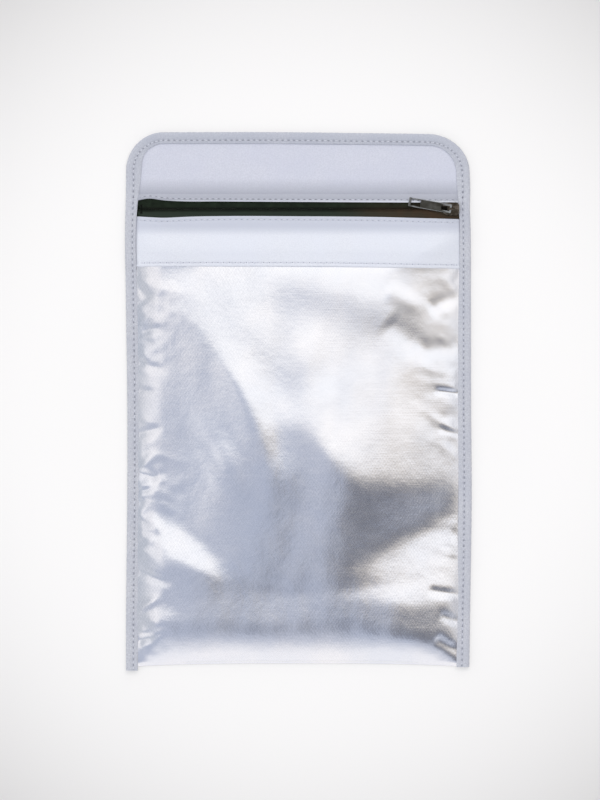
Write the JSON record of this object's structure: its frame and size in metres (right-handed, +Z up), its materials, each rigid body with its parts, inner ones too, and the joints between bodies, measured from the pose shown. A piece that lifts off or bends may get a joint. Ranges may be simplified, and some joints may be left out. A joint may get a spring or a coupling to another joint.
{
  "type": "lipo safe bag",
  "caption": "Flat fire-resistant charging pouch of aluminised cloth with a zip, a fold-over hook-and-loop flap, bound edges and a metal slider with pull tab.",
  "frame": {"origin": "under the middle of the bag as it lies on its back with the flap open", "axes": "+X across the bag towards the closed end of the zip, +Y along the bag towards the flap, +Z up out of the front panel"},
  "size_m": [0.23, 0.3586, 0.0113],
  "materials": {
    "foil_cloth": "aluminised glass cloth, bright and crumpled",
    "lining_cloth": "bare woven glass cloth",
    "loop_tape": "matte, short pile",
    "hook_tape": "matte, fine hooks",
    "binding_tape": "woven grey tape",
    "sewing_thread": "twisted grey thread",
    "zip_tape": "woven, near black",
    "zip_coil": "satin",
    "zip_metal": "gunmetal plating, semi-gloss"
  },
  "bodies": {
    "bag": {"back_panel": "foil_cloth", "back_lining": "lining_cloth", "front_panel": "foil_cloth", "front_lining": "lining_cloth", "loop_tape": "loop_tape", "loop_thread_low": "sewing_thread", "loop_thread_high": "sewing_thread", "binding_left": "binding_tape", "binding_thread_left": "sewing_thread", "binding_right": "binding_tape", "binding_thread_right": "sewing_thread", "zip_tape_lower": "zip_tape", "zip_tape_upper": "zip_tape", "zip_coil_lower": "zip_coil", "zip_coil_upper": "zip_coil", "hook_tape_edge": "hook_tape", "hook_tape_thread": "sewing_thread"},
    "flap_neck": {"neck_cloth": "foil_cloth", "neck_lining": "lining_cloth", "neck_hook_tape": "hook_tape", "neck_binding_left": "binding_tape", "neck_binding_right": "binding_tape", "neck_binding_threads": "sewing_thread"},
    "flap": {"flap_cloth": "foil_cloth", "flap_lining": "lining_cloth", "hook_tape": "hook_tape", "flap_binding": "binding_tape", "flap_binding_thread": "sewing_thread"},
    "slider": {"zip_slider": "zip_metal"},
    "pull": {"zip_pull_tab": "zip_metal"}
  },
  "joints": [
    {"name": "neck_fold", "type": "hinge", "parent": "bag", "child": "flap_neck", "pos_m": [0, 0.1356, 0.0028], "axis": [1, 0, 0], "range_deg": [0, 88]},
    {"name": "flap_fold", "type": "hinge", "parent": "flap_neck", "child": "flap", "pos_m": [0, 0.1416, 0.0028], "axis": [1, 0, 0], "range_deg": [0, 88]},
    {"name": "zip_travel", "type": "slide", "parent": "bag", "child": "slider", "axis": [-1, 0, 0], "range_m": [0, 0.196]},
    {"name": "pull_swing", "type": "hinge", "parent": "slider", "child": "pull", "pos_m": [0.1014, 0.128, 0.00685], "axis": [0.1736, 0.9848, 0], "range_deg": [0, 177]}
  ],
  "couplings": [
    {"joint": "neck_fold", "follows": "flap_fold", "ratio": 1}
  ]
}
